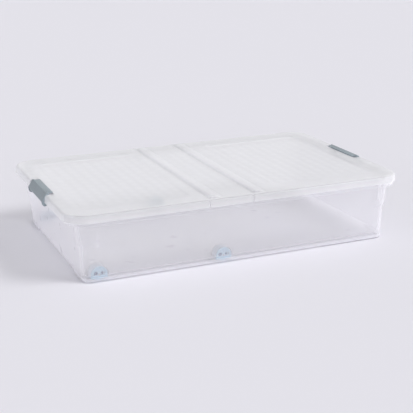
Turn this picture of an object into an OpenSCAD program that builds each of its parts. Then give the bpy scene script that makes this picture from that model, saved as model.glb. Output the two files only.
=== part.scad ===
// Under bed box: a low clear tub, a lid in three panels that folds along two
// hinge lines, a swing clip at each short end, and castors under the left half.
// Millimetres. The floor is z = 0, X runs along the box and the front is -Y.

/* [Lid] */
// Length of the lid, along X
lid_l = 800; // [790:5:820]
// Width of the lid, along Y
lid_w = 510; // [500:2:520]
// Radius of the lid's corners in plan
lid_r = 50; // [46:1:62]
// Height of the lid's rim above the floor
lid_z = 155; // [150:1:170]
// Height of the skirt that hangs from the rim
skirt_h = 16.4; // [14:0.1:18]
// Radius of the rim's rounded top edge
edge_r = 6; // [3:0.5:7]
// How far the skirt leans out between its top and its lower edge
flare = 1.5; // [0:0.5:2]
// Width of the raised rim round the sunken panels
rim_w = 47; // [40:1:60]
// Depth of the sunken panels below the rim
panel_drop = 3.5; // [2:0.5:6]
// Wall thickness of the lid
lid_t = 2; // [1.5:0.1:2.5]

/* [Folding lines] */
// Place along X of the left hinge line
hinge_left = -86.5; // [-120:0.5:-80]
// Place along X of the right hinge line
hinge_right = 16.5; // [5:0.5:30]
// Width of the groove between two lid panels
hinge_gap = 3; // [2:0.5:4]
// Width of the stiffening ridge beside each hinge line
ridge_w = 28; // [20:1:32]
// Height of the ridge above the rim
ridge_h = 4; // [2:0.5:5]
// Right end of the left sunken panel
left_panel_end = -108; // [-130:1:-105]
// Left end of the right sunken panel
right_panel_end = 92; // [70:1:120]

/* [Tub] */
// Length of the tub's foot, along X
base_l = 728; // [720:2:734]
// Width of the tub's foot, along Y
base_w = 460; // [450:2:462]
// Corner radius of the tub's foot
base_r = 20; // [18:1:30]
// How far each wall leans out between the floor and its top
draft = 11; // [6:0.5:12]
// Wall thickness of the tub
wall = 2; // [1.5:0.1:2.5]
// Height of the underside of the tub's bottom above the floor
bottom_z = 10; // [8:0.5:12]
// How far each corner shoulder stands out
shoulder_out = 2.5; // [1:0.5:3]
// Height of the ledge under each corner shoulder
shoulder_z = 81; // [60:1:100]
// Length of the shoulder along a wall, from the corner's centre
shoulder_run = 4; // [0:1:30]

/* [Flange] */
// How far the tub's flange sits inside the lid's outline
flange_in = 5.5; // [4:0.5:7]
// Height of the lip that hangs from the flange
lip_h = 8; // [6:0.5:10]

/* [Clips] */
// Length of a clip's top plate, along Y
plate_len = 114; // [100:2:140]
// Depth of a clip's top plate, along X
plate_deep = 15.5; // [14:0.5:16.5]
// Thickness of the clip's plate and face
clip_t = 2.5; // [2:0.1:3]
// Thickness of a clip's cheek
cheek_t = 8; // [6:0.5:10]
// Radius of a clip's pivot pin
pin_r = 2; // [1.5:0.1:2.5]

/* [Castors] */
// Radius of a wheel
wheel_r = 14; // [12:0.5:15]
// Width of a wheel's tread
tread_w = 12; // [10:0.5:13]
// Radius of an axle
axle_r = 2; // [1.5:0.1:3]
// Place along X of the left pair of wheels
wheels_left = -328; // [-332:1:-300]
// Place along X of the middle pair of wheels
wheels_middle = -42; // [-80:1:0]
// Distance of each wheel from the box's middle, along Y
wheels_out = 212; // [200:1:213]

/* [Hidden] */
$fn = 96;
CORNERS = ["left_front", "left_rear", "middle_front", "middle_rear"];

clear = [0.84, 0.88, 0.94, 0.45];
slate = [0.50, 0.54, 0.58];
blue = [0.36, 0.52, 0.66];
pale_blue = [0.62, 0.76, 0.86];
steel = [0.75, 0.76, 0.78];

over = 1;                                   // how far a cutter passes a face
rest_gap = 0.3;                             // gap between two pieces that rest together
half_l = lid_l / 2;
half_w = lid_w / 2;
skirt_z = lid_z - skirt_h;                  // lower edge of the lid's skirt
round_in = edge_r + flare;                  // the rim's top is flat this far inside its outline
wall_top = lid_z - lid_t - 0.5;             // top edge of the tub, under the lid's deck
corner_x = base_l / 2 - base_r;             // centre of the tub's corner rounding
corner_y = base_w / 2 - base_r;
top_x = base_l / 2 + draft;                 // the tub's outside at its top edge
top_y = base_w / 2 + draft;
top_r = base_r + draft;
flange_z = skirt_z - rest_gap;              // top face of the flange
flange_x = half_l - flange_in;
flange_y = half_w - flange_in;
flange_r = lid_r - flange_in;
trim = 1.5;                                 // the left half's skirt clears the floor by this
trim_end = 200;                             // where the skirt reaches the floor again
sole_t = 3;                                 // thickness of the soles in the tub's corners
arch_half = 150;                            // half length of the arch in each end wall
locate_gap = 0.5;                           // between the tub's wall and the lid's rib
rib_t = 1.5;                                // thickness of the lid's locating rib
rib_z = lid_z - 12;                         // lower edge of the locating rib
notch_x = top_x + locate_gap + rib_t;       // the lid stops here behind a clip
notch_half = plate_len / 2 + cheek_t + 4;   // half length of that notch
pivot_x = flange_x + 3.5;                   // axis of a clip's pivot
pivot_z = flange_z - lip_h / 2;
knuckle_r = lip_h / 2;
knuckle_end = plate_len / 2 - 0.5;
knuckle_len = 7;
pin_gap = 0.05;                             // running clearance of a clip's pins
cheek_r = 5.5;
plate_top = lid_z + 2.5;
plate_in = notch_x + 0.8;                   // inner edge of a clip's plate
housing_gap = 2;                            // between a wheel and its housing
housing_t = 2;
housing_half = tread_w / 2 + 2 + housing_t; // half width of a housing, along Y
housing_z = 6;                              // lower edge of a housing
well_gap = 0.3;                             // between a housing and the tub's well

// ---- shared shapes ----

// Outline of a rounded rectangle with half sizes hx and hy
module round_rect(hx, hy, r) {
    square([2 * (hx - r), 2 * hy], center = true);
    square([2 * hx, 2 * (hy - r)], center = true);
    for (sx = [-1, 1], sy = [-1, 1])
        translate([sx * (hx - r), sy * (hy - r)]) circle(r);
}

module slab(hx, hy, r, z0, z1) {
    translate([0, 0, z0]) linear_extrude(z1 - z0) round_rect(hx, hy, r);
}

module ring(hx, hy, r, t, z0, z1) {
    difference() {
        slab(hx, hy, r, z0, z1);
        slab(hx - t, hy - t, r - t, z0 - over, z1 + over);
    }
}

// Box between two corners
module block(low, high) {
    translate(low) cube(high - low);
}

// Block at height z0 to z1 whose four walls lean out like the tub's
module leaning_block(z0, z1, grow = 0) {
    r0 = base_r + grow + draft * z0 / wall_top;
    r1 = base_r + grow + draft * z1 / wall_top;
    for (sx = [-1, 1], sy = [-1, 1])
        translate([sx * corner_x, sy * corner_y, z0]) cylinder(h = z1 - z0, r1 = r0, r2 = r1);
    rotate([90, 0, 0])
        linear_extrude(2 * corner_y, center = true) leaning_side(corner_x, r0, r1, z0, z1);
    rotate([90, 0, 90])
        linear_extrude(2 * corner_x, center = true) leaning_side(corner_y, r0, r1, z0, z1);
}

module leaning_side(c, r0, r1, z0, z1) {
    polygon([[-c - r0, z0], [c + r0, z0], [c + r1, z1], [-c - r1, z1]]);
}

// Block across Y whose round top is centred on a wheel's axis
module wheel_arch(r, half, z0) {
    intersection() {
        union() {
            translate([0, 0, wheel_r]) rotate([90, 0, 0]) cylinder(h = 2 * half, r = r, center = true);
            block([-r, -half, z0], [r, half, wheel_r]);
        }
        block([-r - over, -half - over, z0], [r + over, half + over, wheel_r + r + over]);
    }
}

module four_corners(x_in, y_in, z0, z1) {
    for (sx = [0, 1], sy = [0, 1])
        mirror([sx, 0, 0]) mirror([0, sy, 0])
            block([x_in, y_in, z0], [half_l, half_w, z1]);
}

// ---- tub ----

module shoulders(z0, z1, inset, grow) {
    intersection() {
        leaning_block(z0, z1, grow);
        four_corners(corner_x - shoulder_run + inset, corner_y - shoulder_run + inset, z0, z1);
    }
}

module tub_outside() {
    leaning_block(0, wall_top);
    shoulders(shoulder_z, flange_z, 0, shoulder_out);
    difference() {
        slab(flange_x, flange_y, flange_r, flange_z - lip_h, flange_z);
        slab(flange_x - wall, flange_y - wall, flange_r - wall, flange_z - lip_h - over, flange_z - wall);
    }
    for (sx = [0, 1], sy = [0, 1])
        mirror([sx, 0, 0]) mirror([0, sy, 0]) knuckle();
}

// Moulded lug on the lip that carries one end of a clip
module knuckle() {
    translate([pivot_x, knuckle_end, pivot_z])
        rotate([90, 0, 0]) cylinder(h = knuckle_len, r = knuckle_r);
    block([flange_x - wall, knuckle_end - knuckle_len, flange_z - lip_h], [pivot_x, knuckle_end, flange_z]);
}

module tub_hollow() {
    leaning_block(bottom_z + wall, wall_top + over, -wall);
    shoulders(shoulder_z + wall, flange_z - wall, wall, shoulder_out - wall);
    difference() {
        leaning_block(-over, bottom_z, -wall);
        four_corners(corner_x - 40, corner_y - 30, -over, sole_t);
    }
}

module tub_wells(half, r, z0) {
    for (x = [wheels_left, wheels_middle], y = [-wheels_out, wheels_out])
        translate([x, y, 0]) wheel_arch(r, half, z0);
}

module tub() {
    well_r = wheel_r + housing_gap + housing_t + well_gap;
    well_half = housing_half + well_gap;
    color(clear) difference() {
        union() {
            difference() {
                tub_outside();
                tub_hollow();
            }
            tub_wells(well_half + wall, well_r + wall, bottom_z);
        }
        tub_wells(well_half, well_r, -over);
        // arch under each end wall, between the corner feet
        rotate([90, 0, 90]) linear_extrude(2 * half_l, center = true)
            polygon([[-arch_half - 8, -over], [arch_half + 8, -over], [arch_half, bottom_z], [-arch_half, bottom_z]]);
        // the wheels carry the left half
        block([-half_l, -half_w, -over], [trim_end, half_w, trim]);
        for (sx = [0, 1], sy = [0, 1])
            mirror([sx, 0, 0]) mirror([0, sy, 0]) {
                translate([pivot_x, plate_len / 2, pivot_z])
                    rotate([90, 0, 0]) cylinder(h = knuckle_len + 2, r = pin_r + pin_gap);
                // room for the clip's cheek to turn past the flange
                block([pivot_x - cheek_r - 1, knuckle_end + 0.2, flange_z - lip_h - over],
                      [half_l, plate_len / 2 + cheek_t + 0.7, flange_z + over]);
            }
    }
}

// ---- lid ----

// Rim seen end on: x is the radius from the corner's centre, y the height
module rim_profile() {
    arc_step = 18;
    r_out = lid_r - round_in;
    r_in = edge_r - lid_t;
    polygon(concat(
        [[lid_r, skirt_z]],
        [for (a = [0 : arc_step : 90]) [r_out + edge_r * cos(a), lid_z - edge_r + edge_r * sin(a)]],
        [[r_out - 1, lid_z], [r_out - 1, lid_z - lid_t]],
        [for (a = [90 : -arc_step : 0]) [r_out + r_in * cos(a), lid_z - edge_r + r_in * sin(a)]],
        [[lid_r - lid_t, skirt_z]]
    ));
}

module rim_side(run) {
    rotate([90, 0, 90]) linear_extrude(2 * run, center = true) rim_profile();
}

module rim() {
    cx = half_l - lid_r;
    cy = half_w - lid_r;
    for (sx = [0, 1], sy = [0, 1])
        mirror([sx, 0, 0]) mirror([0, sy, 0])
            translate([cx, cy, 0]) rotate_extrude(angle = 90) rim_profile();
    for (s = [0, 1]) {
        mirror([0, s, 0]) translate([0, cy, 0]) rim_side(cx);
        mirror([s, 0, 0]) translate([cx, 0, 0]) rotate([0, 0, -90]) rim_side(cy);
    }
}

// Outline of a sunken panel between x0 and x1, made smaller by inset
module panel_outline(x0, x1, inset) {
    translate([(x0 + x1) / 2, 0])
        round_rect((x1 - x0) / 2 - inset, half_w - rim_w - inset, 12 - inset);
}

module panel_cut(x0, x1) {
    translate([0, 0, lid_z - panel_drop]) linear_extrude(panel_drop + over) panel_outline(x0, x1, lid_t);
}

module panel_tray(x0, x1) {
    translate([0, 0, lid_z - panel_drop - lid_t]) linear_extrude(panel_drop + lid_t) panel_outline(x0, x1, 0);
}

// Cylinder along Y whose top stands ridge_h above the rim; t thins it
module ridge(x0, t) {
    r = (ridge_w * ridge_w / 4 + ridge_h * ridge_h) / (2 * ridge_h);
    intersection() {
        translate([x0 + ridge_w / 2, 0, lid_z + ridge_h - r])
            rotate([90, 0, 0]) cylinder(h = lid_w, r = r - t, center = true);
        block([x0, round_in - half_w, lid_z - lid_t - over], [x0 + ridge_w, half_w - round_in, lid_z + ridge_h]);
    }
}

// Both ridges start just past their hinge line
module ridges(t) {
    for (x = [hinge_left, hinge_right])
        ridge(x + hinge_gap / 2 + 2, t);
}

module whole_lid() {
    panels = [[rim_w - half_l, left_panel_end], [right_panel_end, half_l - rim_w]];
    rim();
    difference() {
        union() {
            slab(half_l - round_in, half_w - round_in, lid_r - round_in, lid_z - lid_t, lid_z);
            for (p = panels) panel_tray(p[0], p[1]);
            ridges(0);
        }
        for (p = panels) panel_cut(p[0], p[1]);
        ridges(lid_t);
    }
    ring(notch_x, top_y + locate_gap + rib_t, top_r + locate_gap + rib_t, rib_t, rib_z, lid_z - lid_t);
}

// The piece of the lid between x0 and x1, with a notch behind each clip
module lid_piece(x0, x1) {
    color(clear) difference() {
        intersection() {
            whole_lid();
            block([x0, -half_w - over, 0], [x1, half_w + over, lid_z + ridge_h + over]);
        }
        for (s = [0, 1])
            mirror([s, 0, 0])
                block([notch_x, -notch_half, 0], [half_l + over, notch_half, lid_z + over]);
    }
}

module lid_band() {
    lid_piece(hinge_left + hinge_gap / 2, hinge_right - hinge_gap / 2);
}

module lid_flap_left() {
    lid_piece(-half_l - over, hinge_left - hinge_gap / 2);
}

module lid_flap_right() {
    lid_piece(hinge_right + hinge_gap / 2, half_l + over);
}

// ---- clips ----

// The right-hand clip; its plate lies over the lid's end and its face runs down to the pivot
module clip() {
    fold_x = plate_in + plate_deep;
    face_x = pivot_x + cheek_r + 1;
    face_z = flange_z + 1;
    plate_z = plate_top - clip_t;
    rotate([90, 0, 0]) linear_extrude(plate_len, center = true)
        polygon([
            [plate_in, plate_z], [plate_in, plate_top], [fold_x, plate_top],
            [face_x, face_z], [face_x - clip_t, face_z], [fold_x - clip_t / 2, plate_z]
        ]);
    for (s = [0, 1])
        mirror([0, s, 0]) {
            translate([0, plate_len / 2 + cheek_t, 0]) rotate([90, 0, 0]) linear_extrude(cheek_t)
                cheek_outline(fold_x, face_x, face_z);
            translate([pivot_x, plate_len / 2 + over, pivot_z])
                rotate([90, 0, 0]) cylinder(h = knuckle_len + over, r = pin_r);
        }
}

module cheek_outline(fold_x, face_x, face_z) {
    translate([pivot_x, pivot_z]) circle(cheek_r);
    polygon([
        [pivot_x - cheek_r, pivot_z], [fold_x - 6, plate_top - clip_t], [fold_x - 1, plate_top],
        [fold_x, plate_top], [face_x, face_z], [pivot_x + cheek_r, pivot_z]
    ]);
}

module clip_right() {
    color(slate) clip();
}

module clip_left() {
    color(slate) mirror([1, 0, 0]) clip();
}

// ---- castors ----

module wheel() {
    tread = tread_w / 2;
    hub = tread + 1.2;
    web = tread - 2.5;
    color(pale_blue) translate([0, 0, wheel_r]) rotate([90, 0, 0]) rotate_extrude()
        polygon([
            [axle_r + 0.08, -hub], [5, -hub], [5, -web], [wheel_r - 3.5, -web],
            [wheel_r - 3, -tread], [wheel_r - 1, -tread], [wheel_r, -tread + 1],
            [wheel_r, tread - 1], [wheel_r - 1, tread], [wheel_r - 3, tread],
            [wheel_r - 3.5, web], [5, web], [5, hub], [axle_r + 0.08, hub]
        ]);
}

module axle() {
    color(steel) translate([0, 0, wheel_r])
        rotate([90, 0, 0]) cylinder(h = 2 * housing_half - 0.4, r = axle_r, center = true);
}

module wheel_housing() {
    inner_r = wheel_r + housing_gap;
    color(blue) difference() {
        wheel_arch(inner_r + housing_t, housing_half, housing_z);
        wheel_arch(inner_r, housing_half - housing_t, housing_z - over);
        translate([0, 0, wheel_r])
            rotate([90, 0, 0]) cylinder(h = lid_w, r = axle_r + 0.03, center = true);
    }
}

// Where castor number i stands
function castor_at(i) = [
    i < 2 ? wheels_left : wheels_middle,
    i % 2 == 0 ? -wheels_out : wheels_out,
    0
];

tub();
lid_band();
lid_flap_left();
lid_flap_right();
clip_left();
clip_right();
for (i = [0 : 3]) translate(castor_at(i)) {
    wheel();
    axle();
    wheel_housing();
}
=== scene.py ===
"""Under bed box: a clear tub on four castors, a lid in three panels and two swing clips.

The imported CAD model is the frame. Every node but the four axle pins is rebuilt here as
a finer mesh in the same place, and thin webs are added at the lid's two hinge gaps.
Lengths are in millimetres in the model's frame, and MM turns them into metres; only
the camera's place, the noise scales and the bump depths are in metres.
"""
import math

import bmesh
import bpy
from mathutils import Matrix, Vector


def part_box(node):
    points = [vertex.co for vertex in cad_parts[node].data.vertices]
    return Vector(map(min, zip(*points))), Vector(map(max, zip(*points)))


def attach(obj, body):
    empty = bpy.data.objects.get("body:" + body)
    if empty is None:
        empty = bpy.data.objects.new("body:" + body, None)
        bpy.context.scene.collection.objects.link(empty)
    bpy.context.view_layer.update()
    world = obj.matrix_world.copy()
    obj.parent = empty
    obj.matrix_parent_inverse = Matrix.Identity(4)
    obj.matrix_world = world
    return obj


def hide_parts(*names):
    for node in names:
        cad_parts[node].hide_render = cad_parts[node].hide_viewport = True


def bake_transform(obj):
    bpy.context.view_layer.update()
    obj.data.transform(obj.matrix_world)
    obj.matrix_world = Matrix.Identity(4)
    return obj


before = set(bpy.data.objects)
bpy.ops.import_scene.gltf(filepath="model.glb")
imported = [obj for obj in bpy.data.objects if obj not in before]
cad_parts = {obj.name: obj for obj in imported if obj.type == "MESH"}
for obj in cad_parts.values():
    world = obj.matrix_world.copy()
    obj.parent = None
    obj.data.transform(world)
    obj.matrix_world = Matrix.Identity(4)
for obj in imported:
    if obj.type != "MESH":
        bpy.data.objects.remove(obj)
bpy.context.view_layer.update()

MM = 0.001


def node_box(node):
    """Lowest and highest corner of a CAD node, in millimetres."""
    low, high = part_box(node)
    return [c / MM for c in low], [c / MM for c in high]


# ---- sizes ----

flap_low, flap_high = node_box("lid_flap_left")
band_low, band_high = node_box("lid_band")
right_low = node_box("lid_flap_right")[0]

LID_X = -flap_low[0]                  # half length of the lid at its skirt's lower edge
LID_Y = -flap_low[1]                  # half width
LID_R = 50.0                          # corner radius in plan
FLARE = 1.5                           # the skirt leans out by this
EDGE_R = 6.0                          # rounding of the rim's top edge
LID_T = 2.0                           # wall thickness of lid, tub and housings
RIM_Z = flap_high[2]                  # top of the rim
SKIRT_Z = band_low[2]                 # lower edge of the skirt
LEFT_GAP = (flap_high[0], band_low[0])     # the hinge gap left of the centre band
RIGHT_GAP = (band_high[0], right_low[0])   # and the one right of it
RIDGE_H = band_high[2] - RIM_Z
RIDGE_W = 28.0
RIDGE_FOOT = 0.8                      # depth of the fine groove at a ridge's far foot
RIDGE_GAP = 2.0                       # from a hinge gap's right edge to its ridge
PANEL_RIM = 47.0                      # width of the raised rim round the sunken panels
PANEL_DROP = 1.8                      # depth of the sunken panels
PANEL_R = 12.0
LEFT_PANEL_END = -108.0
RIGHT_PANEL_START = 92.0
WEAVE_ROW = 24.0                      # spacing of the beaded rows moulded into the panels
WEAVE_BEAD = 32.0                     # spacing of the beads along a row
WEAVE_H = 0.9
WEAVE_FADE = 16.0                     # the painted shade between the rows fades in and the beads rise over this
WEAVE_IN = 14.0                       # the rows stop this far inside a panel's edge
BORDER_RUN = 15.0                     # the sunken panels slope down over this
GRID_STEP = 4.0                       # spacing of the lid's mesh
STRAIGHT_X = 300.0                    # the lid's long sides are straight at least up to here
CUT_DROP = 0.5                        # the deck's edges drop by this beside a hinge gap
CUT_RUN = 1.8                         # over this distance
RIB_T = 1.5                           # locating rib under the lid
RIB_DEEP = 12.0                       # it hangs this far below the rim's top

FLAT_X = LID_X - FLARE - EDGE_R       # the lid's flat top ends here
FLAT_Y = LID_Y - FLARE - EDGE_R
FLAT_R = LID_R - FLARE - EDGE_R

FOOT_X = 364.0                        # half length of the tub's foot
FOOT_Y = 230.0
FOOT_R = 20.0
DRAFT = 11.0                          # each wall leans out by this up to WALL_TOP
WALL_TOP = RIM_Z - LID_T - 0.5
FLANGE_Z = SKIRT_Z - 0.3              # top face of the tub's flange
FLANGE_IN = 5.5                       # the flange sits inside the lid's outline by this
LIP_H = 8.0
FLOOR_LOW = 10.0                      # underside of the tub's bottom
FLOOR_TOP = 12.0
SHOULDER_Z = 81.0
SHOULDER_OUT = 2.5
SHOULDER_RUN = 4.0
SHOULDER_FADE = 16.0                  # a shoulder dies away along the wall over this
ARCH_HALF = 150.0                     # half length of the arch under each end wall
TRIM = 1.5                            # the left half stands off the floor by this
TRIM_END = 200.0

WHEEL_R = 14.0
WELL_R = 18.3                         # inside radius of a wheel well
WELL_HALF = 10.3                      # half width of a well inside
AXLE_R = 2.0
CORE_R = 10.5                         # outside of a wheel's hard core, inside of its tyre
HUB_R = 4.6
SPOKES = 6
SPOKE_HALF = (0.8, 4.6)               # half thickness and half width of a core's spokes
HOUSING_R = 18.0
HOUSING_HALF = 10.0
HOUSING_LOW = 6.0                     # height of the housing's lower edge
WINDOW_X, WINDOW_Z = 8.2, 3.0         # centre of a housing's windows from the axle
WINDOW_RX, WINDOW_RZ = 5.0, 4.0       # their half length and half height
THROUGH = 15.0                        # half length of a tool that cuts right through a castor
CLIP_HALF = 57.0                      # half length of a clip's plate
CHEEK_T = 8.0                         # width of the cheek at each end of a clip
CHEEK_R = 5.5
CLIP_T = 2.5
CLIP_RISE = 2.5                       # the clip's plate stands this far above the rim
CLIP_PLATE = 15.5                     # width of the plate that lies over the rim
PIN_R = 2.0
PIN_GAP = 0.05
PIVOT_X = LID_X - FLANGE_IN + 3.5
PIVOT_Z = FLANGE_Z - LIP_H / 2
RIB_OUT = DRAFT + 0.5 + RIB_T         # the rib's outer face, out from the tub's foot
NOTCH_X = FOOT_X + RIB_OUT            # the lid's short ends are notched from here outward
NOTCH_HALF = CLIP_HALF + CHEEK_T + 4.0
WEB_HALF = FLAT_Y + 3.5               # half length of a hinge web
WEB_OVER = 0.8                        # it reaches this far past the gap's edges
WEB_DOWN = 0.3                        # its top face lies this far below the rim's top
WEB_T = 0.4
WEB_SAG = 0.35                        # its middle dips by this
CASTORS = ("left_front", "left_rear", "middle_front", "middle_rear")


# ---- mesh helpers ----

def new_object(name, verts, faces):
    """Mesh object from points in millimetres."""
    mesh = bpy.data.meshes.new(name)
    mesh.from_pydata([(x * MM, y * MM, z * MM) for x, y, z in verts], [], faces)
    obj = bpy.data.objects.new(name, mesh)
    bpy.context.scene.collection.objects.link(obj)
    return obj


def tidy_mesh(obj, sharp_deg=32):
    """Outward normals, merged doubles, smooth faces with sharp edges where the surface turns."""
    bm = bmesh.new()
    bm.from_mesh(obj.data)
    bmesh.ops.remove_doubles(bm, verts=bm.verts, dist=0.01 * MM)
    bmesh.ops.dissolve_degenerate(bm, edges=bm.edges, dist=0.005 * MM)
    bmesh.ops.recalc_face_normals(bm, faces=bm.faces)
    limit = math.radians(sharp_deg)
    for edge in bm.edges:
        edge.smooth = len(edge.link_faces) == 2 and edge.calc_face_angle(0.0) < limit
    for face in bm.faces:
        face.smooth = True
    bm.to_mesh(obj.data)
    bm.free()


def apply_modifiers(obj):
    """Replaces the object's mesh by what its modifiers make of it."""
    depsgraph = bpy.context.evaluated_depsgraph_get()
    mesh = bpy.data.meshes.new_from_object(obj.evaluated_get(depsgraph))
    obj.modifiers.clear()
    old = obj.data
    obj.data = mesh
    bpy.data.meshes.remove(old)


def boolean(obj, tool, operation):
    """Adds or cuts away the closed mesh tool, which is then deleted."""
    modifier = obj.modifiers.new("cut", "BOOLEAN")
    modifier.operation = operation
    modifier.solver = "EXACT"
    modifier.object = tool
    apply_modifiers(obj)
    bpy.data.objects.remove(tool)


def bevel(obj, width, segments=3, angle=35):
    """Rounds the edges that turn by more than angle degrees."""
    modifier = obj.modifiers.new("bevel", "BEVEL")
    modifier.width = width * MM
    modifier.segments = segments
    modifier.limit_method = "ANGLE"
    modifier.angle_limit = math.radians(angle)
    modifier.harden_normals = False


def ellipse(x, z, rx, rz, sides):
    """Closed outline in X and Z."""
    turn = 2 * math.pi / sides
    return [(x + rx * math.cos(i * turn), z + rz * math.sin(i * turn)) for i in range(sides)]


def span(side, a, b):
    """The stretch from a to b on one side of the middle, its lower end first."""
    return sorted((side * a, side * b))


class Grid:
    """Numbers the points of two layers, each with outer rows of inner points."""

    def __init__(self, outer, inner):
        self.outer = outer
        self.inner = inner

    def at(self, layer, i, j):
        return (layer * self.outer + i) * self.inner + j

    def layer_faces(self):
        faces = []
        for i in range(self.outer - 1):
            for j in range(self.inner - 1):
                for layer in (0, 1):
                    corners = ((i, j), (i + 1, j), (i + 1, j + 1), (i, j + 1))
                    face = [self.at(layer, *corner) for corner in corners]
                    faces.append(tuple(face if layer == 0 else reversed(face)))
        return faces

    def edge_faces(self, i):
        """Joins the two layers along outer row i."""
        at = self.at
        steps = range(self.inner - 1)
        return [(at(0, i, j), at(0, i, j + 1), at(1, i, j + 1), at(1, i, j)) for j in steps]

    def side_faces(self, j):
        """Joins the two layers along inner place j."""
        at = self.at
        steps = range(self.outer - 1)
        return [(at(0, i, j), at(0, i + 1, j), at(1, i + 1, j), at(1, i, j)) for i in steps]


class Shells:
    """Gathers closed shells into one mesh."""

    def __init__(self):
        self.verts = []
        self.faces = []

    def add(self, verts, faces):
        start = len(self.verts)
        self.verts += list(verts)
        self.faces += [tuple(start + i for i in face) for face in faces]

    def box(self, low, high):
        (x0, y0, z0), (x1, y1, z1) = low, high
        self.prism([(x0, z0), (x1, z0), (x1, z1), (x0, z1)], y0, y1)

    def prism(self, outline, y0, y1):
        """Outline in X and Z, drawn out along Y."""
        count = len(outline)
        verts = [(x, y0, z) for x, z in outline] + [(x, y1, z) for x, z in outline]
        faces = [tuple(range(count)), tuple(range(2 * count - 1, count - 1, -1))]
        faces += [(i, i + count, (i + 1) % count + count, (i + 1) % count) for i in range(count)]
        self.add(verts, faces)

    def rod(self, x, z, radius, y0, y1, sides=32):
        self.prism(ellipse(x, z, radius, radius, sides), y0, y1)

    def make(self, name):
        obj = new_object(name, self.verts, self.faces)
        bm = bmesh.new()
        bm.from_mesh(obj.data)
        bmesh.ops.recalc_face_normals(bm, faces=bm.faces)
        bm.to_mesh(obj.data)
        bm.free()
        return obj


def smooth_step(t):
    t = min(max(t, 0.0), 1.0)
    return t * t * (3 - 2 * t)


def spread(low, high, step, fine=()):
    """Even places from low to high, with extra ones close round each place in fine."""
    count = max(1, round((high - low) / step))
    places = [low + (high - low) * i / count for i in range(count + 1)]
    for centre in fine:
        for off in (-3.0, -1.5, 0.0, 1.5, 3.0):
            if low + 0.7 < centre + off < high - 0.7:
                places.append(centre + off)
    places.sort()
    kept = [places[0]]
    for place in places[1:-1]:
        if place - kept[-1] > 0.9 and high - place > 0.9:
            kept.append(place)
    return kept + [places[-1]]


# ---- lid ----

def rect_distance(x, y, x0, x1, half_y, r):
    """Distance outside a rounded rectangle, negative inside."""
    dx = abs(x - (x0 + x1) / 2) - ((x1 - x0) / 2 - r)
    dy = abs(y) - (half_y - r)
    return math.hypot(max(dx, 0), max(dy, 0)) + min(max(dx, dy), 0) - r


PANELS = (
    (PANEL_RIM - LID_X, LEFT_PANEL_END),
    (RIGHT_PANEL_START, LID_X - PANEL_RIM),
)
RIDGES = (LEFT_GAP[1] + RIDGE_GAP, RIGHT_GAP[1] + RIDGE_GAP)
WOVEN = (                             # where the beads are, and their share of WEAVE_H
    ((PANELS[0][0] + 12, PANELS[0][1] - 12), 0.7),
    ((RIDGES[0] + RIDGE_W + 8, RIGHT_GAP[0] - 4), 0.8),
    ((RIDGES[1] + RIDGE_W + 8, PANELS[1][1] - 12), 1.0),
)


def weave(x, y):
    """Rows of staggered beads along Y, 0 between the rows to 1 on the beads."""
    row = round(x / WEAVE_ROW)
    across = 0.5 + 0.5 * math.cos(2 * math.pi * x / WEAVE_ROW)
    along = 0.5 + 0.5 * math.cos(2 * math.pi * (y / WEAVE_BEAD + 0.5 * row))
    return across ** 0.7 * (0.55 + 0.45 * along)


def deck_height(x, y, woven):
    """Height of the lid's top face above the rim's flat top."""
    height = 0.0
    for x0, x1 in PANELS:
        inside = -rect_distance(x, y, x0, x1, LID_Y - PANEL_RIM, PANEL_R)
        height -= PANEL_DROP * smooth_step(inside / BORDER_RUN)
    if woven:
        for (x0, x1), share in WOVEN:
            inside = -rect_distance(x, y, x0, x1, LID_Y - PANEL_RIM - WEAVE_IN, PANEL_R)
            height += share * WEAVE_H * smooth_step(inside / WEAVE_FADE) * (weave(x, y) - 0.5)
    fade = smooth_step((FLAT_Y - abs(y)) / 12)
    for x0 in RIDGES:
        across = (x - x0) / RIDGE_W
        height -= RIDGE_FOOT * math.exp(-((x - x0 - RIDGE_W - 3) / 2.4) ** 2) * fade
        if 0 < across < 1:
            height += RIDGE_H * math.sin(math.pi * across ** 0.72) * fade
    return height


def corner_limit(y):
    """How far the flat top reaches along X at this y."""
    past = abs(y) - (FLAT_Y - FLAT_R)
    if past <= 0:
        return FLAT_X
    return FLAT_X - FLAT_R + math.sqrt(max(FLAT_R ** 2 - past ** 2, 0))


def squeeze(x, y):
    """Keeps a grid column inside the rounded corners."""
    if abs(x) <= STRAIGHT_X:
        return x
    share = (corner_limit(y) - STRAIGHT_X) / (FLAT_X - STRAIGHT_X)
    return math.copysign(STRAIGHT_X + (abs(x) - STRAIGHT_X) * share, x)


def lid_rows():
    """Places of the grid's rows in Y, closer together round the corners."""
    straight = FLAT_Y - FLAT_R
    half = spread(0, straight, GRID_STEP, [LID_Y - PANEL_RIM - 2])
    steps = 10
    half += [straight + FLAT_R * math.sin(math.pi / 2 * i / steps) for i in range(1, steps + 1)]
    return [-y for y in reversed(half[1:])] + half


def rim_profile():
    """Points from the flat top's edge out, down the skirt and back up inside: (outward, height)."""
    points = []
    steps = 6
    for i in range(1, steps + 1):
        a = math.pi / 2 * i / steps
        points.append((EDGE_R * math.sin(a), RIM_Z - EDGE_R + EDGE_R * math.cos(a)))
    low = EDGE_R + FLARE
    points += [(low - 0.1, SKIRT_Z + 0.9), (low, SKIRT_Z + 0.5), (low - 0.5, SKIRT_Z)]
    points += [(low - LID_T + 0.4, SKIRT_Z), (low - LID_T, SKIRT_Z + 0.5)]
    inner = EDGE_R - LID_T
    for i in range(steps, 0, -1):
        a = math.pi / 2 * i / steps
        points.append((inner * math.sin(a), RIM_Z - EDGE_R + inner * math.cos(a)))
    return points


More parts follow.
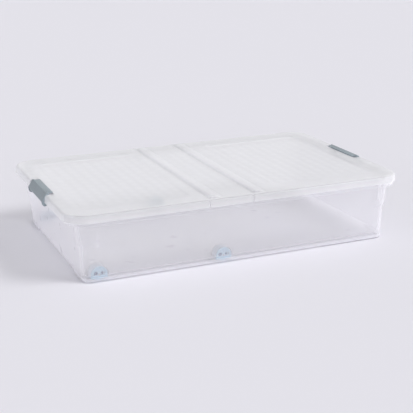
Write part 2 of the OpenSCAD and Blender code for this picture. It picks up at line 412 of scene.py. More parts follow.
def outward(x, y):
    """Direction in plan from the flat top's edge to the skirt."""
    cx = max(abs(x) - (FLAT_X - FLAT_R), 0)
    cy = max(abs(y) - (FLAT_Y - FLAT_R), 0)
    if cx < 1e-6 and cy < 1e-6:
        cy = 1.0
    length = math.hypot(cx, cy)
    return math.copysign(cx / length, x), math.copysign(cy / length, y)


def lid_columns(x0, x1):
    """Places of the grid's columns in X, closer together at the panels' and ridges' edges."""
    fine = [edge for panel in PANELS for edge in panel]
    fine += [x for start in RIDGES for x in (start, start + RIDGE_W)]
    return spread(max(x0, -FLAT_X), min(x1, FLAT_X), GRID_STEP, [f for f in fine if x0 < f < x1])


def cut_drop(x, x0, x1):
    """Rounds the deck's edges beside a hinge gap."""
    near = [x - x0] if x0 > -FLAT_X else []
    near += [x1 - x] if x1 < FLAT_X else []
    return CUT_DROP * (1 - smooth_step(min(near) / CUT_RUN))


def deck_points(columns, rows, x0, x1):
    """Top layer, then underside."""
    verts = []
    for layer in (0, 1):
        for column in columns:
            for y in rows:
                x = squeeze(column, y)
                z = RIM_Z + deck_height(x, y, layer == 0) - layer * LID_T
                if layer == 0:
                    z -= cut_drop(x, x0, x1)
                verts.append((x, y, z))
    return verts


def rim_paths(grid, cut_left, cut_right):
    """Grid places along the deck's outer edge, from one hinge gap to the next."""
    front = [(i, 0) for i in range(grid.outer)]
    back = [(i, grid.inner - 1) for i in range(grid.outer)]
    if not cut_left:
        end = [(0, j) for j in range(1, grid.inner - 1)]
        return [front[::-1] + end + back]
    if not cut_right:
        end = [(grid.outer - 1, j) for j in range(1, grid.inner - 1)]
        return [front + end + back[::-1]]
    return [front, back]


def add_rim(verts, faces, grid, path):
    """Rounded rim and skirt along a path, joining the deck's top to its underside."""
    rings = []
    for i, j in path:
        x, y, _ = verts[grid.at(0, i, j)]
        nx, ny = outward(x, y)
        ring = [grid.at(0, i, j)]
        for off, z in rim_profile():
            ring.append(len(verts))
            verts.append((x + nx * off, y + ny * off, z))
        ring.append(grid.at(1, i, j))
        rings.append(ring)
    for a, b in zip(rings, rings[1:]):
        for k in range(len(a) - 1):
            faces.append((a[k], a[k + 1], b[k + 1], b[k]))
    faces.append(tuple(rings[0]))
    faces.append(tuple(rings[-1]))


def cut_notch(obj, side):
    """Opening in a short end of the lid for its clip."""
    x0, x1 = span(side, NOTCH_X, LID_X + 5)
    tool = Shells()
    tool.box((x0, -NOTCH_HALF, SKIRT_Z - 5), (x1, NOTCH_HALF, RIM_Z + 5))
    boolean(obj, tool.make("notch"), "DIFFERENCE")


def lid_piece(name, x0, x1, node):
    """One panel of the lid between x0 and x1, as a closed shell with its share of the rim."""
    cut_left, cut_right = x0 > -FLAT_X, x1 < FLAT_X
    columns, rows = lid_columns(x0, x1), lid_rows()
    grid = Grid(len(columns), len(rows))
    verts = deck_points(columns, rows, x0, x1)
    faces = grid.layer_faces()
    for path in rim_paths(grid, cut_left, cut_right):
        add_rim(verts, faces, grid, path)
    if cut_left:
        faces += grid.edge_faces(0)
    if cut_right:
        faces += grid.edge_faces(grid.outer - 1)
    obj = new_object(name, verts, faces)
    tidy_mesh(obj)
    if not cut_left:
        cut_notch(obj, -1)
    if not cut_right:
        cut_notch(obj, 1)
    add_rib(obj, x0, x1)
    tidy_mesh(obj)
    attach(obj, node)
    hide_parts(node)
    return obj


def rounded_path(half_x, half_y, r, step=12.0, extra_x=(), extra_y=()):
    """Closed path round a rounded rectangle: (corner x, corner y, direction x, direction y)."""
    cx, cy = half_x - r, half_y - r
    xs = spread(-cx, cx, step)
    ys = spread(-cy, cy, step)
    xs = sorted(set(xs) | set(extra_x))
    ys = sorted(set(ys) | set(extra_y))
    steps = 12
    arc = [math.pi / 2 * i / steps for i in range(1, steps)]
    path = [(x, -cy, 0.0, -1.0) for x in xs]
    path += [(cx, -cy, math.sin(a), -math.cos(a)) for a in arc]
    path += [(cx, y, 1.0, 0.0) for y in ys]
    path += [(cx, cy, math.cos(a), math.sin(a)) for a in arc]
    path += [(x, cy, 0.0, 1.0) for x in reversed(xs)]
    path += [(-cx, cy, -math.sin(a), math.cos(a)) for a in arc]
    path += [(-cx, y, -1.0, 0.0) for y in reversed(ys)]
    path += [(-cx, -cy, -math.cos(a), -math.sin(a)) for a in arc]
    return path


def stretches_between(path, r, x0, x1):
    """The parts of a closed path that lie between x0 and x1."""
    stretches, current = [], []
    for point in path:
        x = point[0] + r * point[2]
        if x0 - 0.01 <= x <= x1 + 0.01:
            current.append(point)
        elif current:
            stretches.append(current)
            current = []
    if current and stretches and path[0] in stretches[0]:
        stretches[0] = current + stretches[0]
    elif current:
        stretches.append(current)
    return [stretch for stretch in stretches if len(stretch) > 1]


def add_rib(obj, x0, x1):
    """Locating rib under the lid, just outside the tub's walls."""
    r = FOOT_R + RIB_OUT
    cuts = [min(max(x, -STRAIGHT_X), STRAIGHT_X) for x in (x0, x1)]
    path = rounded_path(FOOT_X + RIB_OUT, FOOT_Y + RIB_OUT, r, 20.0, extra_x=cuts)
    low, high = RIM_Z - RIB_DEEP, RIM_Z - LID_T + 0.4
    section = [(0.0, high), (0.0, low + 0.6), (-0.4, low)]
    section += [(0.4 - RIB_T, low), (-RIB_T, low + 0.6), (-RIB_T, high)]
    count = len(section)
    shells = Shells()
    for stretch in stretches_between(path, r, x0, x1):
        verts, faces = [], []
        for cx, cy, dx, dy in stretch:
            verts += [(cx + (r + off) * dx, cy + (r + off) * dy, z) for off, z in section]
        for i in range(len(stretch) - 1):
            for k in range(count):
                a, b = i * count + k, i * count + (k + 1) % count
                faces.append((a, b, b + count, a + count))
        faces.append(tuple(range(count)))
        faces.append(tuple(len(verts) - 1 - k for k in range(count)))
        shells.add(verts, faces)
    join_into(obj, shells.make("rib"))


def join_into(obj, other):
    """Adds another object's mesh to this one's."""
    bm = bmesh.new()
    bm.from_mesh(obj.data)
    bm.from_mesh(other.data)
    bm.to_mesh(obj.data)
    bm.free()
    bpy.data.objects.remove(other)


# ---- tub ----

def foot_height(x, y):
    """Height of the skirt's lower edge."""
    if abs(x) > FOOT_X - 1 and abs(y) < ARCH_HALF + 8:
        return (FLOOR_LOW - 1) * smooth_step((ARCH_HALF + 8 - abs(y)) / 8)
    return TRIM * (1 - smooth_step((x - TRIM_END) / 4))


def shoulder_share(x, y):
    """1 in the corner shoulders, 0 along the walls between them."""
    along_x = smooth_step((abs(x) - (FOOT_X - FOOT_R - SHOULDER_RUN - SHOULDER_FADE)) / SHOULDER_FADE)
    along_y = smooth_step((abs(y) - (FOOT_Y - FOOT_R - SHOULDER_RUN - SHOULDER_FADE)) / SHOULDER_FADE)
    return along_x * along_y


def tub_sections():
    """Rings from the underside's edge, out and up the wall, over the flange and down inside.

    Each is (offset from the wall's outside, height, share of the shoulder, kind); the foot
    rings follow the skirt's lower edge, and the flange rings follow the lid's outline."""
    t = LID_T
    under = FLANGE_Z - t
    lip = FLANGE_Z - LIP_H
    underside = [(-t - 1.2, FLOOR_LOW, 0), (-t - 0.3, FLOOR_LOW - 0.25, 0),
                 (-t, FLOOR_LOW - 0.6, 0)]
    foot = [(-t, 0.4, 0), (-t + 0.5, 0, 0), (-0.7, 0, 0), (-0.2, 0.25, 0), (0, 0.8, 0)]
    outside = [(0, 14, 0), (0, 45, 0), (0, SHOULDER_Z - 1.2, 0), (0, SHOULDER_Z - 0.4, 0.12),
               (0, SHOULDER_Z + 0.4, 0.8), (0, SHOULDER_Z + 1.4, 1), (0, 110, 1),
               (0, under - 2.2, 1), (0.5, under - 0.8, 1), (2.0, under, 1)]
    flange = [(-t - 0.8, under, 0), (-t, under - 0.8, 0), (-t, lip + 0.4, 0), (-t + 0.5, lip, 0),
              (-0.5, lip, 0), (0, lip + 0.5, 0), (0, FLANGE_Z - 1.0, 0),
              (-0.3, FLANGE_Z - 0.3, 0), (-1.0, FLANGE_Z, 0)]
    lip_over = [(1.2, FLANGE_Z, 0), (0.3, FLANGE_Z + 0.3, 0), (0, FLANGE_Z + 1.2, 0),
                (0, WALL_TOP - 0.8, 0), (-0.4, WALL_TOP - 0.1, 0), (-1.0, WALL_TOP, 0),
                (-t + 0.4, WALL_TOP - 0.1, 0), (-t, WALL_TOP - 0.8, 0)]
    inside = [(-t, FLANGE_Z - 0.8, 0), (-t, under, 1), (-t, SHOULDER_Z + 3.4, 1),
              (-t, SHOULDER_Z + 2.4, 0.8), (-t, SHOULDER_Z + 1.6, 0.12), (-t, SHOULDER_Z + 0.8, 0),
              (-t, 45, 0), (-t, FLOOR_TOP + 6, 0), (-t - 0.6, FLOOR_TOP + 3, 0),
              (-t - 2.2, FLOOR_TOP + 0.9, 0), (-t - 5, FLOOR_TOP + 0.1, 0), (-t - 8, FLOOR_TOP, 0)]
    groups = (("wall", underside), ("foot", foot), ("wall", outside), ("flange", flange),
              ("wall", lip_over), ("wall", inside))
    return [(*row, kind) for kind, rows in groups for row in rows]


def tub_ring(path, offset, height, share, kind):
    """Points of one ring: the foot's path moved out by the draft, or out to the flange."""
    ring = []
    for cx, cy, dx, dy in path:
        if kind == "flange":
            r = LID_R - FLANGE_IN + offset
            px = cx * (LID_X - LID_R) / (FOOT_X - FOOT_R)
            py = cy * (LID_Y - LID_R) / (FOOT_Y - FOOT_R)
            ring.append((px + r * dx, py + r * dy, height))
            continue
        z = height
        x_out, y_out = cx + FOOT_R * dx, cy + FOOT_R * dy
        if kind == "foot":
            z += foot_height(x_out, y_out)
        r = FOOT_R + DRAFT * z / WALL_TOP + offset
        r += SHOULDER_OUT * share * shoulder_share(x_out, y_out)
        ring.append((cx + r * dx, cy + r * dy, z))
    return ring


def tub_loft():
    """The tub's shell without its wells and lugs."""
    edge_x = FOOT_X - FOOT_R - SHOULDER_RUN
    edge_y = FOOT_Y - FOOT_R - SHOULDER_RUN
    steps = [-SHOULDER_FADE * i / 6 for i in range(7)]
    extra_x = [s * (edge_x + d) for s in (-1, 1) for d in steps]
    extra_x += [TRIM_END + d for d in (1, 2, 3)]
    extra_y = [s * (edge_y + d) for s in (-1, 1) for d in steps]
    extra_y += [s * (ARCH_HALF + d) for s in (-1, 1) for d in (0, 2, 4, 6, 8)]
    path = rounded_path(FOOT_X, FOOT_Y, FOOT_R, 30.0, extra_x, extra_y)
    count = len(path)
    rings = [tub_ring(path, *section) for section in tub_sections()]
    verts = [point for ring in rings for point in ring]
    faces = []
    for k in range(len(rings) - 1):
        for i in range(count):
            n = (i + 1) % count
            faces.append((k * count + i, k * count + n, (k + 1) * count + n, (k + 1) * count + i))
    last = (len(rings) - 1) * count
    faces.append(tuple(range(count)))
    faces.append(tuple(last + i for i in range(count)))
    obj = new_object("clear_tub_shell", verts, faces)
    tidy_mesh(obj)
    return obj


def wheel_places():
    """Centre of each wheel in X and Y."""
    places = []
    for corner in CASTORS:
        low, high = node_box("wheel_" + corner)
        places.append(((low[0] + high[0]) / 2, (low[1] + high[1]) / 2))
    return places


def well_outline(x, r, z0):
    """Arch of radius r over a wheel, with straight sides down to z0."""
    steps = 24
    arch = []
    for i in range(steps + 1):
        a = math.pi * i / steps
        arch.append((x + r * math.cos(a), WHEEL_R + r * math.sin(a)))
    return [(x + r, z0)] + arch + [(x - r, z0)]


def lug_outline(side):
    """Rounded lug on the flange's lip, round a clip's pivot."""
    radius = LIP_H / 2 - 0.02
    root = LID_X - FLANGE_IN - 1.2
    steps = 16
    points = [(root, PIVOT_Z - radius)]
    for i in range(steps + 1):
        a = math.pi * (i / steps - 0.5)
        points.append((PIVOT_X + radius * math.cos(a), PIVOT_Z + radius * math.sin(a)))
    points.append((root, PIVOT_Z + radius))
    return [(side * x, z) for x, z in points]


def make_wells(added, cut):
    """A closed arch over each wheel, open below."""
    outer = WELL_HALF + LID_T
    for x, y in wheel_places():
        added.prism(well_outline(x, WELL_R + LID_T, FLOOR_LOW + 0.2), y - outer, y + outer)
        cut.prism(well_outline(x, WELL_R, -2.0), y - WELL_HALF, y + WELL_HALF)


def make_lugs(added, cut, bores):
    """A bored lug for each clip pin, and room in the flange for each cheek."""
    for side in (-1, 1):
        for end in (-1, 1):
            added.prism(lug_outline(side), *span(end, CLIP_HALF - 7.5, CLIP_HALF - 0.5))
            y0, y1 = span(end, CLIP_HALF - 9, CLIP_HALF)
            bores.rod(side * PIVOT_X, PIVOT_Z, PIN_R + PIN_GAP, y0, y1)
            y0, y1 = span(end, CLIP_HALF - 0.3, CLIP_HALF + CHEEK_T + 0.7)
            x0, x1 = span(side, PIVOT_X - CHEEK_R - 1, LID_X + 4)
            cut.box((x0, y0, FLANGE_Z - LIP_H - 3), (x1, y1, FLANGE_Z + 1))


def make_tub():
    obj = tub_loft()
    added, cut, bores = Shells(), Shells(), Shells()
    make_wells(added, cut)
    make_lugs(added, cut, bores)
    boolean(obj, added.make("added"), "UNION")
    boolean(obj, cut.make("cut"), "DIFFERENCE")
    boolean(obj, bores.make("bores"), "DIFFERENCE")
    tidy_mesh(obj)
    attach(obj, "tub")
    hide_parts("tub")
    return obj


# ---- clips ----

def clip_shape(side):
    """Plate, sloping face, two cheeks and two stub pins."""
    plate_in = NOTCH_X + 0.8
    plate_top = RIM_Z + CLIP_RISE
    plate_z = plate_top - CLIP_T
    fold_x = plate_in + CLIP_PLATE
    face = (PIVOT_X + CHEEK_R + 1, FLANGE_Z + 1)
    fold = [(fold_x + 0.9, plate_top - 1.2), (fold_x - 0.4, plate_top)]
    plate = [(plate_in, plate_z), (fold_x - CLIP_T / 2, plate_z), (face[0] - CLIP_T, face[1])]
    plate += [face] + fold + [(plate_in, plate_top)]
    start, end = math.radians(180), math.radians(362)
    steps = 18
    cheek = []
    for i in range(steps + 1):
        a = start + (end - start) * i / steps
        cheek.append((PIVOT_X + CHEEK_R * math.cos(a), PIVOT_Z + CHEEK_R * math.sin(a)))
    cheek += [face] + fold + [(fold_x - 3, plate_top), (fold_x - 6, plate_z)]
    body, cheeks, pins = Shells(), Shells(), Shells()
    body.prism([(side * x, z) for x, z in plate], -CLIP_HALF, CLIP_HALF)
    for end in (-1, 1):
        y0, y1 = span(end, CLIP_HALF - 0.2, CLIP_HALF + CHEEK_T)
        cheeks.prism([(side * x, z) for x, z in cheek], y0, y1)
        y0, y1 = span(end, CLIP_HALF - 7, CLIP_HALF + 1)
        pins.rod(side * PIVOT_X, PIVOT_Z, PIN_R, y0, y1, 24)
    obj = body.make("clip")
    boolean(obj, cheeks.make("cheeks"), "UNION")
    boolean(obj, pins.make("pins"), "UNION")
    return obj


def make_clip(name, side, node):
    obj = clip_shape(side)
    obj.name = name
    obj.data.name = name
    bevel(obj, 0.7)
    apply_modifiers(obj)
    tidy_mesh(obj, 40)
    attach(obj, node)
    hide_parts(node)
    return obj


# ---- castors ----

def lathe(name, profile, x, y, sides=48):
    """Closed profile of (radius, y) points turned about the axle at (x, y)."""
    count = len(profile)
    verts, faces = [], []
    for i in range(sides):
        a = 2 * math.pi * i / sides
        verts += [(x + r * math.cos(a), y + off, WHEEL_R + r * math.sin(a)) for r, off in profile]
    for i in range(sides):
        j = (i + 1) % sides
        for k in range(count):
            m = (k + 1) % count
            faces.append((i * count + k, i * count + m, j * count + m, j * count + k))
    obj = new_object(name, verts, faces)
    tidy_mesh(obj)
    return obj


def mirrored(half):
    """Closed profile from the half on the -Y side."""
    return half + [(r, -off) for r, off in reversed(half)]


def make_tyre(corner, x, y):
    """Soft tread with rounded shoulders and a fine groove round its middle."""
    half = [(CORE_R + 0.05, -5.0), (11.3, -5.9), (12.6, -6.0), (13.5, -5.5)]
    half += [(WHEEL_R, -4.3), (WHEEL_R, -1.0), (WHEEL_R - 0.5, -0.6)]
    obj = lathe("tyre_" + corner, mirrored(half), x, y)
    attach(obj, "wheel_" + corner)
    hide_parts("wheel_" + corner)
    return obj


def make_core(corner, x, y):
    """Hard hub, web and spokes."""
    half = [(AXLE_R + 0.08, -7.2), (HUB_R, -7.2), (HUB_R + 0.4, -6.8), (HUB_R + 0.4, -2.0)]
    half += [(CORE_R, -2.0)]
    obj = lathe("wheel_core_" + corner, mirrored(half), x, y)
    thick, wide = SPOKE_HALF
    corners = ((HUB_R, -thick), (CORE_R - 0.2, -thick), (CORE_R - 0.2, thick), (HUB_R, thick))
    ribs = Shells()
    for i in range(SPOKES):
        a = 2 * math.pi * i / SPOKES
        c, s = math.cos(a), math.sin(a)
        outline = [(x + r * c - w * s, WHEEL_R + r * s + w * c) for r, w in corners]
        ribs.prism(outline, y - wide, y + wide)
    boolean(obj, ribs.make("ribs"), "UNION")
    tidy_mesh(obj)
    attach(obj, "wheel_" + corner)
    return obj


def make_housing(corner, x, y):
    """Snap-in arch over a wheel, with two windows in each cheek beside the axle."""
    shells, inner, holes = Shells(), Shells(), Shells()
    shells.prism(well_outline(x, HOUSING_R, HOUSING_LOW), y - HOUSING_HALF, y + HOUSING_HALF)
    reach = HOUSING_HALF - LID_T
    inner.prism(well_outline(x, HOUSING_R - LID_T, HOUSING_LOW - 1), y - reach, y + reach)
    holes.rod(x, WHEEL_R, AXLE_R + 0.03, y - THROUGH, y + THROUGH, 24)
    for side in (-1, 1):
        place = (x + side * WINDOW_X, WHEEL_R + WINDOW_Z)
        holes.prism(ellipse(*place, WINDOW_RX, WINDOW_RZ, 20), y - THROUGH, y + THROUGH)
    obj = shells.make("castor_housing_" + corner)
    boolean(obj, inner.make("inside"), "DIFFERENCE")
    boolean(obj, holes.make("holes"), "DIFFERENCE")
    bevel(obj, 0.4, 2)
    apply_modifiers(obj)
    tidy_mesh(obj)
    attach(obj, "tub")
    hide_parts("wheel_housing_" + corner)
    return obj


# ---- living hinges ----

def make_web(name, flap_x, band_x):
    """Thin flexible strip along the bottom of a hinge gap, from the flap to the band."""
    x0, x1 = sorted((flap_x, band_x))
    rows = spread(-WEB_HALF, WEB_HALF, 12.0)
    grid = Grid(len(rows), 7)
    verts = []
    for down in (WEB_DOWN, WEB_DOWN + WEB_T):
        for y in rows:
            for k in range(grid.inner):
                share = k / (grid.inner - 1)
                x = x0 - WEB_OVER + (x1 - x0 + 2 * WEB_OVER) * share
                verts.append((x, y, RIM_Z - down - WEB_SAG * math.sin(math.pi * share)))
    faces = grid.layer_faces()
    for k in (0, grid.inner - 1):
        faces += grid.side_faces(k)
    for j in (0, grid.outer - 1):
        faces += grid.edge_faces(j)
    obj = new_object(name, verts, faces)
    tidy_mesh(obj)
    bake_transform(obj)
    return obj


# ---- materials ----

# Linear colours: the usual one and a slightly darker one that clouds of noise mix in.
TUB_COLOURS = ((0.97, 0.96, 1.0), (0.95, 0.94, 1.0))
LID_COLOURS = ((0.92, 0.925, 0.945), (0.90, 0.905, 0.925))
CLIP_COLOURS = ((0.265, 0.315, 0.345), (0.24, 0.285, 0.315))
TYRE_COLOURS = ((0.42, 0.64, 0.80), (0.37, 0.60, 0.77))
CORE_COLOURS = ((0.05, 0.17, 0.36), (0.04, 0.14, 0.31))
HOUSING_COLOURS = ((0.42, 0.62, 0.76), (0.38, 0.58, 0.73))
STEEL_COLOURS = ((0.72, 0.73, 0.75), (0.58, 0.59, 0.61))
FOOT_CONTACT_SHADE = (0.50, 0.49, 0.54)        # painted contact shadow along the very edge of the tub's foot
ROW_GAP_SHADE = (0.80, 0.805, 0.83)    # painted shade on the lid between the beaded rows, where the plastic is also thinner
FLOOR_COLOUR = (0.80, 0.792, 0.842)
SKY_COLOUR = (0.985, 0.98, 1.0)


class Nodes:
    """Short names for building a node material."""

    def __init__(self, name):
        self.material = bpy.data.materials.new(name)
        self.material.use_nodes = True
        self.tree = self.material.node_tree
        self.shader = self.tree.nodes["Principled BSDF"]

    def add(self, kind, **values):
        node = self.tree.nodes.new(kind)
        for key, value in values.items():
            setattr(node, key, value)
        return node

    def link(self, out, into):
        self.tree.links.new(out, into)

    def coordinates(self):
        return self.add("ShaderNodeTexCoord").outputs["Object"]

    def noise(self, scale, detail=2.0, roughness=0.5):
        node = self.add("ShaderNodeTexNoise")
        node.inputs["Scale"].default_value = scale
        node.inputs["Detail"].default_value = detail
        node.inputs["Roughness"].default_value = roughness
        self.link(self.coordinates(), node.inputs["Vector"])
        return node.outputs["Fac"]

    def remap(self, value, low, high, from_low=0.3, from_high=0.7):
        node = self.add("ShaderNodeMapRange")
        node.inputs["From Min"].default_value = from_low
        node.inputs["From Max"].default_value = from_high
        node.inputs["To Min"].default_value = low
        node.inputs["To Max"].default_value = high
        self.link(value, node.inputs["Value"])
        return node.outputs["Result"]

    def mix(self, factor, a, b):
        """Colour mix; a and b are colours or sockets."""
        node = self.add("ShaderNodeMix", data_type="RGBA")
        self.link(factor, node.inputs["Factor"])
        for index, colour in ((6, a), (7, b)):
            if isinstance(colour, tuple):
                node.inputs[index].default_value = (*colour, 1)
            else:
                self.link(colour, node.inputs[index])
        return node.outputs[2]

    def math(self, operation, a, b):
        node = self.add("ShaderNodeMath", operation=operation)
        for index, value in enumerate((a, b)):
            if isinstance(value, (int, float)):
                node.inputs[index].default_value = value
            else:
                self.link(value, node.inputs[index])
        return node.outputs[0]

    def bump(self, height, strength, distance):
        node = self.add("ShaderNodeBump")
        node.inputs["Strength"].default_value = strength
        node.inputs["Distance"].default_value = distance
        self.link(height, node.inputs["Height"])
        return node.outputs["Normal"]


def clear_plastic(name, colours, alpha, facing, rough):
    """Milky clear polypropylene: thin face on, denser at a glancing angle.

    alpha runs between its two values as Layer Weight's facing runs between its own."""
    n = Nodes(name)
    weight = n.add("ShaderNodeLayerWeight")
    weight.inputs["Blend"].default_value = 0.5
    cloud = n.remap(n.noise(scale=9.0, detail=3.0), 0, 1)
    n.link(n.mix(cloud, *colours), n.shader.inputs["Base Color"])
    n.link(n.remap(weight.outputs["Facing"], *alpha, *facing), n.shader.inputs["Alpha"])
    smear = n.noise(scale=30.0, detail=3.0)
    n.link(n.remap(smear, rough - 0.03, rough + 0.05), n.shader.inputs["Roughness"])
    n.shader.inputs["IOR"].default_value = 1.49
    ripple = n.noise(scale=25.0, detail=2.0)
    n.link(n.bump(ripple, strength=0.1, distance=0.0003), n.shader.inputs["Normal"])
    return n


def source(socket):
    """What is linked into a socket so far."""
    return socket.links[0].from_socket


def axes(n):
    """The object's own X, Y and Z, in metres."""
    split = n.add("ShaderNodeSeparateXYZ")
    n.link(n.coordinates(), split.inputs["Vector"])
    return split.outputs


def tub_material(name):
    """The stiffened strip round the tub's lower edge is milkier, and its very edge carries a painted
    contact shadow in grey.
    """
    n = clear_plastic(name, TUB_COLOURS, alpha=(0.12, 0.44), facing=(0.15, 0.70), rough=0.30)
    height = axes(n)["Z"]
    colour, density = n.shader.inputs["Base Color"], n.shader.inputs["Alpha"]
    # painted contact shadow: grey below 1.5 mm on the foot, fading out by 3 mm
    edge = n.remap(height, 1.0, 0.0, 1.5 * MM, 3.0 * MM)
    strip = n.remap(height, 0.16, 0.0, 8.5 * MM, 10.5 * MM)
    n.link(n.mix(edge, source(colour), FOOT_CONTACT_SHADE), colour)
    n.link(n.math("ADD", source(density), strip), density)
    return n.material


def lid_material(name, alpha):
    """The plastic between the beaded rows is darker: painted shade in the hollows between the rows,
    and the beads are also thicker and whiter.
    """
    n = clear_plastic(name, LID_COLOURS, alpha, facing=(0.42, 0.70), rough=0.32)
    place = axes(n)

    def wave(axis, length):
        return n.math("COSINE", n.math("MULTIPLY", place[axis], 2 * math.pi / (length * MM)), 0)

    staggered = n.math("MULTIPLY", wave("X", 2 * WEAVE_ROW), wave("Y", WEAVE_BEAD))
    relief = n.math("ADD", wave("X", WEAVE_ROW), staggered)
    edge = (LID_Y - PANEL_RIM - WEAVE_IN) * MM
    across = n.math("ABSOLUTE", place["Y"], 0)
    inside = n.remap(across, 1.0, 0.0, edge - WEAVE_FADE * MM, edge)
    # painted shade between the beaded rows, mixed into the base colour
    between = n.math("MULTIPLY", n.remap(relief, 0.34, 0.0, -1.4, 1.4), inside)
    colour = n.shader.inputs["Base Color"]
    n.link(n.mix(between, source(colour), ROW_GAP_SHADE), colour)
    return n.material


def moulded_plastic(name, colours, rough, grain_scale, grain):
    """Opaque moulded plastic with a fine spark-eroded grain and rubbed edges."""
    n = Nodes(name)
    cloud = n.remap(n.noise(scale=30.0, detail=4.0), 0, 1)
    base = n.mix(cloud, *colours)
    geometry = n.add("ShaderNodeNewGeometry")
    worn = n.remap(geometry.outputs["Pointiness"], 0.0, 0.35, 0.52, 0.62)
    rubbed = tuple(min(1.0, c * 1.35 + 0.03) for c in colours[0])
    n.link(n.mix(worn, base, rubbed), n.shader.inputs["Base Color"])
    smear = n.noise(scale=220.0, detail=3.0)
    n.link(n.remap(smear, rough - 0.07, rough + 0.09), n.shader.inputs["Roughness"])
    voronoi = n.add("ShaderNodeTexVoronoi")
    voronoi.inputs["Scale"].default_value = grain_scale
    n.link(n.coordinates(), voronoi.inputs["Vector"])
    fine = n.noise(scale=grain_scale * 1.7, detail=2.0)
    height = n.math("ADD", voronoi.outputs["Distance"], fine)
    n.link(n.bump(height, strength=grain, distance=0.0002), n.shader.inputs["Normal"])
    return n.material


def steel(name):
    """Drawn steel pin with fine lines along it."""
    n = Nodes(name)
    lines = n.add("ShaderNodeTexNoise")
    lines.inputs["Scale"].default_value = 400.0
    stretch = n.add("ShaderNodeMapping")
    stretch.inputs["Scale"].default_value = (1.0, 0.04, 1.0)
    n.link(n.coordinates(), stretch.inputs["Vector"])
    n.link(stretch.outputs["Vector"], lines.inputs["Vector"])
    n.link(n.mix(lines.outputs["Fac"], *STEEL_COLOURS), n.shader.inputs["Base Color"])
    n.link(n.remap(lines.outputs["Fac"], 0.22, 0.4), n.shader.inputs["Roughness"])
    n.shader.inputs["Metallic"].default_value = 1.0
    n.link(n.bump(lines.outputs["Fac"], strength=0.15, distance=0.0001), n.shader.inputs["Normal"])
    return n.material


def paint(obj, material):
    obj.data.materials.clear()
    obj.data.materials.append(material)


def paint_inside(obj, material):
    """Gives a second material to the faces that look in towards the middle of the box."""
    obj.data.materials.append(material)
    middle = Vector((0, 0, FLANGE_Z * MM / 2))
    for polygon in obj.data.polygons:
        if polygon.normal.dot(polygon.center - middle) < 0:
            polygon.material_index = 1


# ---- the object ----

tub_plastic = tub_material("clear_tub")
lid_plastic = lid_material("clear_lid", alpha=(0.28, 0.60))
lid_inside = lid_material("clear_lid_inside", alpha=(0.09, 0.25))
clip_plastic = moulded_plastic("grey_clip", CLIP_COLOURS, 0.42, grain_scale=1500.0, grain=0.3)
tyre_plastic = moulded_plastic("wheel_tyre", TYRE_COLOURS, 0.45, grain_scale=900.0, grain=0.2)
core_plastic = moulded_plastic("wheel_core", CORE_COLOURS, 0.38, grain_scale=900.0, grain=0.2)
housing_plastic = moulded_plastic("housing_plastic", HOUSING_COLOURS, 0.42, grain_scale=900.0,
                                  grain=0.15)
axle_steel = steel("axle_steel")

paint(make_tub(), tub_plastic)

LID_PIECES = (
    ("clear_lid_left_flap", -LID_X, LEFT_GAP[0], "lid_flap_left"),
    ("clear_lid_band", LEFT_GAP[1], RIGHT_GAP[0], "lid_band"),
    ("clear_lid_right_flap", RIGHT_GAP[1], LID_X, "lid_flap_right"),
)
for name, x0, x1, node in LID_PIECES:
    piece = lid_piece(name, x0, x1, node)
    paint(piece, lid_plastic)
    paint_inside(piece, lid_inside)

paint(make_web("hinge_web_left", LEFT_GAP[0], LEFT_GAP[1]), lid_plastic)
paint(make_web("hinge_web_right", RIGHT_GAP[1], RIGHT_GAP[0]), lid_plastic)

paint(make_clip("swing_clip_left", -1, "clip_left"), clip_plastic)
paint(make_clip("swing_clip_right", 1, "clip_right"), clip_plastic)

for corner, (x, y) in zip(CASTORS, wheel_places()):
    paint(make_tyre(corner, x, y), tyre_plastic)
    paint(make_core(corner, x, y), core_plastic)
    paint(make_housing(corner, x, y), housing_plastic)
    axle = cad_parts["axle_" + corner]
    paint(axle, axle_steel)
    bevel(axle, 0.3, 2, 40)


# ---- floor, light and camera ----

FLOOR_HALF = 30000.0
FLOOR_Z = -0.5
LIGHTS = (                            # azimuth, elevation, strength, apparent size in degrees
    ("key", -38, 42, 1.80, 26),
    ("fill", -105, 8, 1.2, 50),
    ("left", 190, 8, 0.42, 50),
)
SKY = (0.855, 0.45)                   # strength at the horizon and overhead
CAMERA_AT = (-0.8753, -2.0983, 0.7640)
CAMERA_TURN = (22.915, -17.242, -0.566)    # yaw from +Y towards +X, pitch and roll, in degrees
CAMERA_LENS = 86.095
CAMERA_SENSOR = 36.0


def make_floor():
    h = FLOOR_HALF
    corners = [(-h, -h), (h, -h), (h, h), (-h, h)]
    obj = new_object("floor", [(x, y, FLOOR_Z) for x, y in corners], [(0, 1, 2, 3)])
    n = Nodes("floor_paper")
    n.shader.inputs["Base Color"].default_value = (*FLOOR_COLOUR, 1)
    n.shader.inputs["Roughness"].default_value = 0.95
    n.shader.inputs["Specular IOR Level"].default_value = 0.0
    paint(obj, n.material)


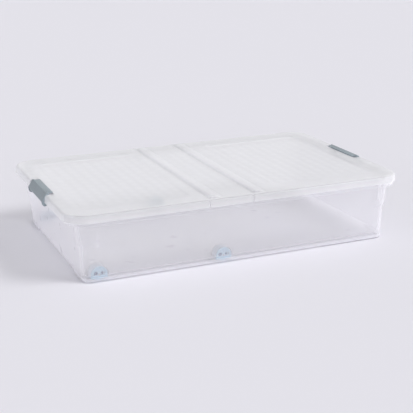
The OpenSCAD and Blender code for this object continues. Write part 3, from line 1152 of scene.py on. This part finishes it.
def make_sun(name, azimuth, elevation, strength, spread_deg):
    """Soft distant light; azimuth is measured from +X towards +Y."""
    light = bpy.data.lights.new(name, "SUN")
    light.energy = strength
    light.angle = math.radians(spread_deg)
    obj = bpy.data.objects.new(name, light)
    a, e = math.radians(azimuth), math.radians(elevation)
    toward = Vector((math.cos(a) * math.cos(e), math.sin(a) * math.cos(e), math.sin(e)))
    obj.rotation_euler = toward.to_track_quat("Z", "Y").to_euler()
    bpy.context.scene.collection.objects.link(obj)


def make_world(horizon, overhead):
    """Even studio light, brighter at the horizon than overhead."""
    world = bpy.data.worlds.new("studio")
    world.use_nodes = True
    tree = world.node_tree
    place = tree.nodes.new("ShaderNodeTexCoord")
    split = tree.nodes.new("ShaderNodeSeparateXYZ")
    shade = tree.nodes.new("ShaderNodeMapRange")
    shade.inputs["From Min"].default_value = 0.0
    shade.inputs["From Max"].default_value = 0.6
    shade.inputs["To Min"].default_value = horizon
    shade.inputs["To Max"].default_value = overhead
    tree.links.new(place.outputs["Generated"], split.inputs["Vector"])
    tree.links.new(split.outputs["Z"], shade.inputs["Value"])
    tree.links.new(shade.outputs["Result"], tree.nodes["Background"].inputs["Strength"])
    tree.nodes["Background"].inputs["Color"].default_value = (*SKY_COLOUR, 1)
    bpy.context.scene.world = world


def make_camera():
    camera = bpy.data.cameras.new("camera")
    camera.sensor_width = CAMERA_SENSOR
    camera.lens = CAMERA_LENS
    obj = bpy.data.objects.new("camera", camera)
    obj.location = CAMERA_AT
    yaw, pitch, roll = (math.radians(angle) for angle in CAMERA_TURN)
    level = math.cos(pitch)
    forward = Vector((math.sin(yaw) * level, math.cos(yaw) * level, math.sin(pitch)))
    obj.rotation_euler = forward.to_track_quat("-Z", "Y").to_euler()
    obj.rotation_euler.rotate_axis("Z", roll)
    bpy.context.scene.collection.objects.link(obj)
    bpy.context.scene.camera = obj


make_floor()
for light in LIGHTS:
    make_sun(*light)
make_world(*SKY)
bpy.context.scene.view_settings.view_transform = "Standard"
make_camera()
